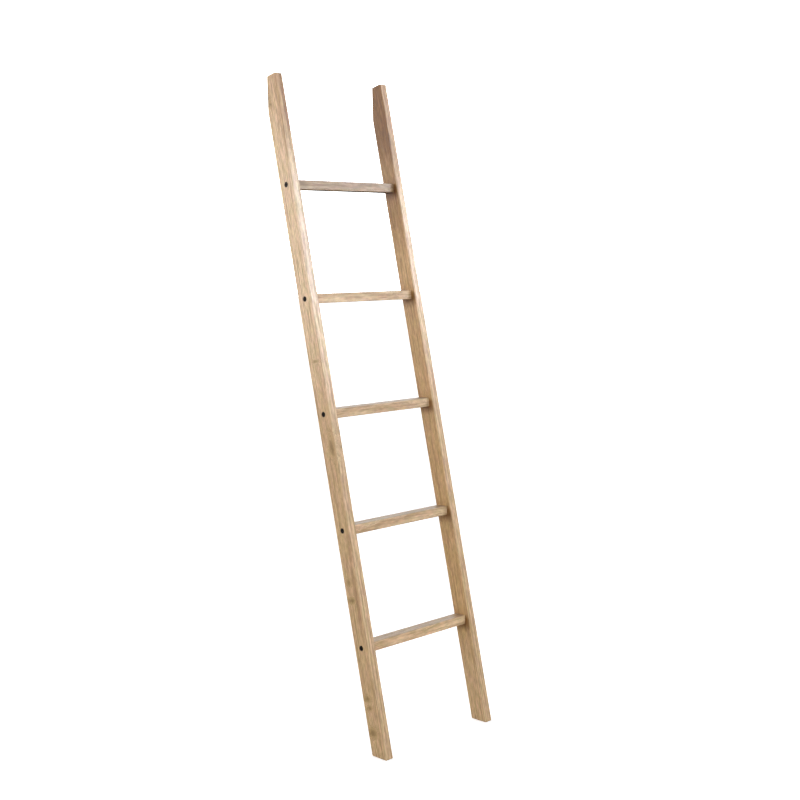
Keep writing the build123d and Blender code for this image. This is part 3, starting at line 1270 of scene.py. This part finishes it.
@dataclass
class Hardware:
    """The black connector bolts and the zinc inserts that they screw into."""

    head_radius: float = 7.0 * MM
    head_height: float = 4.0 * MM
    rim: float = 0.6 * MM
    thread_radius: float = 3.0 * MM
    thread_pitch: float = 1.0 * MM
    thread_depth: float = 0.6 * MM
    socket: float = 2.0 * MM
    socket_depth: float = 2.6 * MM
    shank: float = 40.0 * MM
    seat_depth: float = 5.0 * MM
    insert_length: float = 15.0 * MM
    insert_wall: float = 2.0 * MM
    bolt_past_insert: float = 3.0 * MM
    wear_width: float = 0.5 * MM
    columns: int = 72

    def seat(self, side: Side, number: int, ladder: LadderFrame) -> Axes:
        """Where a bolt's head sits.

        Args:
            side: which rail.
            number: which rung.
            ladder: the ladder's places.
        Returns:
            Axes with their zero at the seat and w pointing out of the ladder.
        """
        low, high = (np.array(corner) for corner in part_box(f"{side.word}_rail"))
        outer = high[0] if side is Side.RIGHT else low[0]
        place = ladder.bolt_axis(number)
        place[0] = outer - side.value * self.seat_depth
        return Axes.along_x(place, side)

    def machine_thread(self) -> Thread:
        """The bolt's thread, which starts at its tip."""
        start, end = 0.7 * MM - self.shank, 24.0 * MM - self.shank
        return Thread(self.thread_pitch, self.thread_depth, start, end, fade=1.2 * MM)

    def bolt(
        self, side: Side, number: int, ladder: LadderFrame, material: bpy.types.Material
    ) -> bpy.types.Object:
        """A connector bolt: threaded shank, flat head with a rounded rim, and a hexagon socket.

        Its rows run up from the tip, over the head and down into the socket, where the radius
        follows a hexagon: half the width across flats over the cosine of the angle from a flat.

        Args:
            side: which rail it passes through.
            number: which rung it holds.
            ladder: the ladder's places.
            material: blackened steel.
        Returns:
            The finished piece.
        """
        tip, top, r, head = -self.shank, self.head_height, self.thread_radius, self.head_radius
        shank_rows = np.arange(tip + 0.7 * MM, -0.3 * MM, 0.2 * MM)
        turn = np.linspace(0, pi / 2, 6)
        lower = 0.25 * MM
        heights = np.concatenate([
            [tip, tip, tip + 0.25 * MM], shank_rows, [-0.15 * MM, 0.0, 0.0], lower * (1 - np.cos(turn)),
            top - self.rim + self.rim * np.sin(turn),
            [top, top, top, top - 0.35 * MM, top - 1.2 * MM, top - self.socket_depth + 0.1 * MM],
            [top - self.socket_depth, top - self.socket_depth - 0.15 * MM],
        ])
        radii = np.concatenate([
            [r * 0.2, r - 0.75 * MM, r - 0.55 * MM], 0 * shank_rows + r,
            [r, r + 0.2 * MM, head - 1.0 * MM], head - lower * (1 - np.sin(turn)),
            head - self.rim * (1 - np.cos(turn)),
            [head - 1.3 * MM, 3.2 * MM, 2.65 * MM, self.socket, self.socket, self.socket],
            [self.socket * 0.92, self.socket * 0.2],
        ])
        hexagon = np.zeros(len(heights))
        hexagon[-5:] = [1, 1, 1, 1, 0]
        angle = np.arange(self.columns) * TURN / self.columns
        flats = 1 / np.cos((angle + pi / 6) % (pi / 3) - pi / 6)
        shape = 1 + hexagon[:, None] * (flats - 1)
        grooves = self.machine_thread().cut(heights, self.columns)
        rows = turned_surface(radii[:, None] * shape - grooves, heights, self.columns)
        spin = np.random.default_rng(number * 2 + side.value).uniform(0, TURN)
        turned = rows.copy()
        turned[..., 0] = rows[..., 0] * cos(spin) - rows[..., 1] * sin(spin)
        turned[..., 1] = rows[..., 0] * sin(spin) + rows[..., 1] * cos(spin)
        points, faces = closed_surface(turned)
        seat = self.seat(side, number, ladder)
        piece = new_piece(f"{side.word}_bolt_{number}_steel", seat.to_row(points), faces)
        from_rim = np.abs(np.hypot(points[:, 0], points[:, 1]) - head + self.rim / 2)
        from_top = np.abs(points[:, 2] - top + self.rim / 2)
        worn = np.exp(-from_rim / self.wear_width) * np.exp(-from_top / self.wear_width)
        write_attribute(piece, WORN_EDGE, worn)
        return finished(piece, material, radians(35))

    def insert(
        self, side: Side, number: int, ladder: LadderFrame, material: bpy.types.Material
    ) -> bpy.types.Object:
        """A threaded insert: a sleeve with a coarse wood thread outside and the bolt's thread inside.

        Its rows run round the sleeve's wall: down the outside, across the inner end, up the bore
        and across the mouth.

        Args:
            side: which end of the rung.
            number: which rung.
            ladder: the ladder's places.
            material: zinc-plated steel.
        Returns:
            The finished piece.
        """
        seat = self.seat(side, number, ladder)
        deep = -(self.shank - self.bolt_past_insert)
        mouth = deep + self.insert_length
        outer_rows = np.arange(mouth - 0.2 * MM, deep + 0.6 * MM, -0.3 * MM)
        bore_rows = np.arange(deep + 0.5 * MM, mouth - 0.4 * MM, 0.2 * MM)
        outer, bore = self.thread_radius + self.insert_wall, self.thread_radius + 0.02 * MM
        coarse = Thread(3.0 * MM, 0.7 * MM, start=deep + 0.3 * MM, end=mouth - 0.6 * MM, fade=1.5 * MM)
        heights = np.concatenate([[mouth], outer_rows, [deep + 0.5 * MM, deep, deep], bore_rows, [mouth]])
        radii = np.concatenate([
            [outer - 0.2 * MM], 0 * outer_rows + outer, [outer, outer - 0.5 * MM, bore + 0.3 * MM],
            0 * bore_rows + bore, [bore + 0.3 * MM],
        ])
        inside = np.arange(len(heights)) > len(outer_rows) + 3
        fine = Thread(self.thread_pitch, self.thread_depth, start=deep, end=mouth, fade=0.5 * MM)
        cuts = [thread.cut(heights, self.columns) for thread in (fine, coarse)]
        grooves = np.where(inside[:, None], *cuts)
        rows = turned_surface(radii[:, None] - grooves, heights, self.columns)[::-1]
        faces = grid_quads(len(heights), self.columns, loop=True).tolist()
        points = rows.reshape(-1, 3)
        piece = new_piece(f"{side.word}_insert_{number}_steel", seat.to_row(points), faces)
        write_attribute(piece, WORN_EDGE, np.exp(-np.abs(points[:, 2] - mouth) / self.wear_width))
        return finished(piece, material, radians(35))


@dataclass
class Dowel:
    """A fluted beech dowel: a turned pin whose radius dips at each flute, with chamfered ends."""

    radius: float = 4.0 * MM
    in_rail: float = 14.0 * MM
    in_rung: float = 16.0 * MM
    chamfer: float = 0.8 * MM
    flutes: int = 10
    flute_depth: float = 0.45 * MM
    columns: int = 80

    def build(
        self, side: Side, number: int, ladder: LadderFrame, material: bpy.types.Material
    ) -> bpy.types.Object:
        """Make the dowel between a rail and a rung.

        Args:
            side: which end of the rung.
            number: which rung.
            ladder: the ladder's places.
            material: beech.
        Returns:
            The finished piece.
        """
        low, high = (np.array(corner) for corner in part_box(f"rung_{number}"))
        place = ladder.dowel_axis(number)
        place[0] = high[0] if side is Side.RIGHT else low[0]
        axes = Axes.along_x(place, side)
        body = np.linspace(self.chamfer - self.in_rung, self.in_rail - self.chamfer, 24)
        heights = np.concatenate([[-self.in_rung, -self.in_rung], body, [self.in_rail, self.in_rail]])
        narrow = self.radius - self.chamfer
        radii = np.concatenate([[narrow * 0.3, narrow], 0 * body + self.radius, [narrow, narrow * 0.3]])
        angle = np.arange(self.columns) * TURN / self.columns
        dip = np.clip(np.cos(angle * self.flutes), 0, 1) ** 4
        depth = np.where(radii > narrow, self.flute_depth, 0.0)
        rows = turned_surface(radii[:, None] - depth[:, None] * dip, heights, self.columns)
        points, faces = closed_surface(rows)
        piece = new_piece(f"{side.word}_dowel_{number}_beech", axes.to_row(points), faces)
        write_attribute(piece, BOARD_PLACE, points + np.array([0.2 * number, 0.1 * side.value, 0.5 * number]))
        from_end = np.minimum(points[:, 2] + self.in_rung, self.in_rail - points[:, 2])
        ends = np.clip(1 - from_end / (self.chamfer / 2), 0, 1)
        write_attribute(piece, MARKS, np.stack([0 * ends, ends, 0 * ends + 1.0], axis=1))
        return finished(piece, material, radians(40))


# ---------------------------------------------------------------------------
# Studio
# ---------------------------------------------------------------------------
@dataclass
class SoftBox:
    """A rectangular area lamp that looks at a point."""

    name: str
    place: Triple
    target: Triple
    size: tuple[float, float]
    watts: float
    colour: Triple
    spread: float = pi

    def build(self) -> None:
        """Make the lamp."""
        lamp = bpy.data.lights.new(self.name, "AREA")
        lamp.shape = "RECTANGLE"
        lamp.spread = self.spread
        lamp.size, lamp.size_y = self.size
        lamp.energy = self.watts
        lamp.color = self.colour
        made = bpy.data.objects.new(self.name, lamp)
        bpy.context.scene.collection.objects.link(made)
        made.location = self.place
        direction = Vector(self.target) - Vector(self.place)
        made.rotation_euler = direction.to_track_quat("-Z", "Y").to_euler()


@dataclass
class Studio:
    """A pale floor, a white surround, soft lamps and the camera."""

    floor_half: float = 60.0
    floor_colour: Colour = (0.90, 0.90, 0.89, 1.0)
    floor_bounce: Colour = (0.09, 0.085, 0.08, 1.0)
    floor_glow: float = 0.55
    surround: Colour = (1.0, 1.0, 1.0, 1.0)
    surround_strength: float = 3.2
    overhead_strength: float = 0.33
    dimming_heights: tuple[float, float] = (0.05, 0.62)
    camera_place: Triple = (-2.498867, -2.714661, 1.344568)
    camera_yaw: float = radians(43.46)
    camera_pitch: float = radians(-5.73)
    camera_roll: float = radians(-1.48)
    focal_px: float = 1263.7
    frame_px: float = 800.0
    sensor: float = 36.0

    def build(self) -> None:
        """Make the whole studio."""
        self.world()
        self.floor()
        self.camera()
        for lamp in self.lamps():
            lamp.build()

    def lamps(self) -> list[SoftBox]:
        """The soft lamps: a key at the right front and a warm rim from the left back."""
        return [
            SoftBox(
                "right_front_key", place=(1.55, -1.45, 2.15), target=(0.0, 0.1, 1.5), size=(1.0, 1.0),
                watts=6.9, colour=(0.64, 0.73, 1.0), spread=radians(75),
            ),
            SoftBox(
                "left_back_rim", place=(-1.75, 1.75, 1.75), target=(0.0, 0.1, 1.45), size=(0.8, 1.2),
                watts=8.2, colour=(1.0, 0.74, 0.68),
            ),
        ]

    def world(self) -> None:
        """A white surround: full white where it is seen, and dimmer where it lights the ladder."""
        world = bpy.data.worlds.new("white_surround")
        world.use_nodes = True
        bpy.context.scene.world = world
        g = Graph(world.node_tree)
        shade = world.node_tree.nodes["Background"]
        shade.inputs["Color"].default_value = self.surround
        height = g.parts(g.node("ShaderNodeTexCoord").outputs["Generated"])[2]
        dimmer = self.surround_strength - self.overhead_strength
        dimming = g.times(g.ramp(height, *self.dimming_heights), dimmer)
        cast = g.math("SUBTRACT", self.surround_strength, dimming)
        seen = g.node("ShaderNodeLightPath").outputs["Is Camera Ray"]
        g.feed(shade.inputs["Strength"], g.math("MAXIMUM", cast, seen))
        bpy.context.scene.view_settings.view_transform = "Standard"

    def floor(self) -> None:
        """A plain pale floor, faintly uneven in tone."""
        h = self.floor_half
        corners = np.array([[-h, -h, 0.0], [h, -h, 0.0], [h, h, 0.0], [-h, h, 0.0]])
        floor = new_piece("studio_floor", corners, [[0, 1, 2, 3]])
        material, g, surface = new_material("studio_floor")
        place = g.node("ShaderNodeTexCoord").outputs["Object"]
        cloud = g.noise(place, (1.5, 1.5, 1.5), 2.0).outputs["Fac"]
        darker = tuple(c * 0.985 for c in self.floor_colour[:3]) + (1.0,)
        pale = g.mix(cloud, self.floor_colour, darker)
        seen = g.node("ShaderNodeLightPath").outputs["Is Camera Ray"]
        g.feed(surface.inputs["Base Color"], g.mix(seen, self.floor_bounce, pale))
        g.feed(surface.inputs["Emission Color"], g.mix(seen, (0.0, 0.0, 0.0, 1.0), (1.0, 1.0, 1.0, 1.0)))
        surface.inputs["Emission Strength"].default_value = self.floor_glow
        surface.inputs["Roughness"].default_value = 0.9
        surface.inputs["Specular IOR Level"].default_value = 0.1
        floor.data.materials.append(material)

    def camera(self) -> None:
        """The camera: turned by yaw about Z, tilted by pitch, then rolled about its own line."""
        yaw, pitch, roll = self.camera_yaw, self.camera_pitch, self.camera_roll
        forward = Vector((sin(yaw) * cos(pitch), cos(yaw) * cos(pitch), sin(pitch)))
        level_right = Vector((cos(yaw), -sin(yaw), 0.0))
        level_up = level_right.cross(forward)
        right = cos(roll) * level_right + sin(roll) * level_up
        up = cos(roll) * level_up - sin(roll) * level_right
        lens = bpy.data.cameras.new("camera")
        lens.sensor_width = self.sensor
        lens.lens = self.focal_px / self.frame_px * self.sensor
        lens.clip_end = 200.0
        made = bpy.data.objects.new("camera", lens)
        bpy.context.scene.collection.objects.link(made)
        turn = Matrix((right, up, -forward)).transposed().to_4x4()
        made.matrix_world = Matrix.Translation(Vector(self.camera_place)) @ turn
        bpy.context.scene.camera = made


# ---------------------------------------------------------------------------
# The ladder
# ---------------------------------------------------------------------------
HALF_RAIL = 0.0135
# Where tone zones of the right rail begin, are full, fade and end along u: its inner face lies at
# -HALF_RAIL, and the rest of its section lies behind that face.
RIGHT_INNER = (-0.030, -0.020, -0.0095, -0.0065)
RIGHT_REST = (-0.009, -0.005, 0.020, 0.030)
LEFT_TIMBER = Timber(
    "left_rail_timber",
    knots=(
        Knot((-HALF_RAIL, 0.0200, 1.898), 0.0100, 0.020, 0.65, (0.35, 1.0, 0.8)),
        Knot((-HALF_RAIL, 0.0140, 1.879), 0.0090, 0.018, 0.60, (0.35, 1.0, 1.3)),
        Knot((-HALF_RAIL, -0.0040, 1.130), 0.0190, 0.026, 0.40, (0.35, 1.0, 4.0)),
        Knot((-HALF_RAIL, -0.0145, 0.883), 0.0150, 0.030, 0.50, (0.35, 1.3, 0.5)),
        Knot((-HALF_RAIL, 0.0080, 0.449), 0.0150, 0.026, 0.62, (0.35, 1.0, 1.7)),
        Knot((-HALF_RAIL, 0.0100, 0.500), 0.0120, 0.020, 0.35, (0.35, 1.0, 1.2)),
        Knot((-HALF_RAIL, 0.0085, 0.172), 0.0130, 0.024, 0.55, (0.35, 1.0, 1.5)),
        Knot((-HALF_RAIL, 0.0060, 0.146), 0.0090, 0.020, 0.45, (0.35, 1.0, 1.3)),
        Knot((-HALF_RAIL, 0.0090, 0.076), 0.0140, 0.028, 0.62, (0.35, 1.0, 1.1)),
        Knot((0.0110, -0.0285, 0.925), 0.0070, 0.016, 0.50, (1.0, 0.35, 0.9)),
        Knot((0.0090, -0.0285, 0.880), 0.0060, 0.014, 0.45, (1.0, 0.35, 0.9)),
    ),
    zones=(
        # The first two zones are painted sheen, paler and bluer where the lamps' sheen lies: over the whole
        # rail from 0.9 m to 1.95 m up it, and more on its front face. The next two darken the front face and
        # the inner side towards the top, and the last two are browner blotches.
        ToneZone((1.25, 1.36, 1.56, 1.0), 1.0, (0.90, 1.25, 1.62, 1.95)),
        ToneZone((1.05, 1.10, 1.20, 1.0), 1.0, (1.20, 1.40, 1.62, 1.74), (-0.060, -0.050, -0.024, -0.020)),
        ToneZone((0.84, 0.79, 0.74, 1.0), 1.0, (1.70, 1.80, 2.10, 2.20), (-0.060, -0.050, -0.024, -0.020)),
        ToneZone((0.70, 0.62, 0.55, 1.0), 1.0, (1.70, 1.80, 2.10, 2.20), (0.0, 0.004, 0.020, 0.030), "u"),
        ToneZone((0.74, 0.66, 0.66, 1.0), 0.8, (0.30, 0.36, 0.52, 0.66), (-0.020, -0.016, -0.010, -0.007)),
        ToneZone((0.86, 0.76, 0.72, 1.0), 0.9, (1.86, 1.89, 1.93, 1.96), (0.008, 0.013, 0.030, 0.040)),
    ),
)
RIGHT_TIMBER = Timber(
    "right_rail_timber",
    pith=(-0.06, 0.07, 0.0),
    zones=(
        # The first three zones darken and brown the inner face, most towards its top. The fourth is painted
        # sheen, paler and bluer on the other faces from 1.1 m to 1.72 m up the rail, and the last darkens
        # those faces towards the top.
        ToneZone((0.68, 0.60, 0.48, 1.0), 1.0, (1.42, 1.54, 2.10, 2.20), RIGHT_INNER, "u"),
        ToneZone((0.55, 0.42, 0.24, 1.0), 1.0, (1.66, 1.80, 2.10, 2.20), RIGHT_INNER, "u"),
        ToneZone((0.91, 0.85, 0.72, 1.0), 1.0, (0.14, 0.32, 1.60, 1.70), RIGHT_INNER, "u"),
        ToneZone((1.28, 1.38, 1.55, 1.0), 1.0, (1.10, 1.36, 1.60, 1.72), RIGHT_REST, "u"),
        ToneZone((0.83, 0.78, 0.75, 1.0), 1.0, (1.60, 1.72, 2.10, 2.20), RIGHT_REST, "u"),
    ),
)
RUNG_TIMBER = Timber(
    "rung_timber", pale=(0.67, 0.495, 0.315, 1.0), deep=(0.40, 0.265, 0.145, 1.0), pith=(0.05, 0.04, 0.0),
    ring_spacing=0.0038,
)
BEECH = Timber(
    "beech", pale=(0.66, 0.50, 0.36, 1.0), deep=(0.58, 0.40, 0.27, 1.0), warm=(0.64, 0.45, 0.31, 1.0),
    pith=(0.02, 0.05, 0.0), ring_spacing=0.002,
)
RUNG_TONES = (1.20, 1.06, 1.0, 1.03, 0.68)


def adopt(piece: bpy.types.Object, node: str) -> None:
    """Let a piece stand for a CAD node and ride on the ladder's one body.

    Args:
        piece: the finished piece.
        node: the CAD node that it stands for.
    """
    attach(piece, "root")
    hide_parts(node)
    log.info("%s stands for %s: %d faces", piece.name, node, len(piece.data.polygons))


def main() -> None:
    """Build the studio and every piece of the ladder."""
    logging.basicConfig(level=logging.INFO, format="%(name)s: %(message)s")
    Studio().build()
    effects = SharedEffects.build()
    ladder = LadderFrame()
    for side, timber in ((Side.LEFT, LEFT_TIMBER), (Side.RIGHT, RIGHT_TIMBER)):
        finish = replace(timber, joints=ladder.joints(side))
        adopt(ladder.rail(side).build(finish.material(effects)), f"{side.word}_rail")
    rung_wood = RUNG_TIMBER.material(effects)
    for number, tone in enumerate(RUNG_TONES, start=1):
        adopt(ladder.rung(number, tone).build(rung_wood), f"rung_{number}")
    hardware, dowel = Hardware(), Dowel()
    black, zinc, beech = (finish.material(effects) for finish in (BlackSteel(), ZincPlate(), BEECH))
    for side in Side:
        for number in range(1, ladder.rung_count + 1):
            adopt(hardware.bolt(side, number, ladder, black), f"{side.word}_bolt_{number}")
            adopt(hardware.insert(side, number, ladder, zinc), f"{side.word}_insert_{number}")
            adopt(dowel.build(side, number, ladder, beech), f"{side.word}_dowel_{number}")
    bpy.context.view_layer.update()


if __name__ == "__main__":
    main()
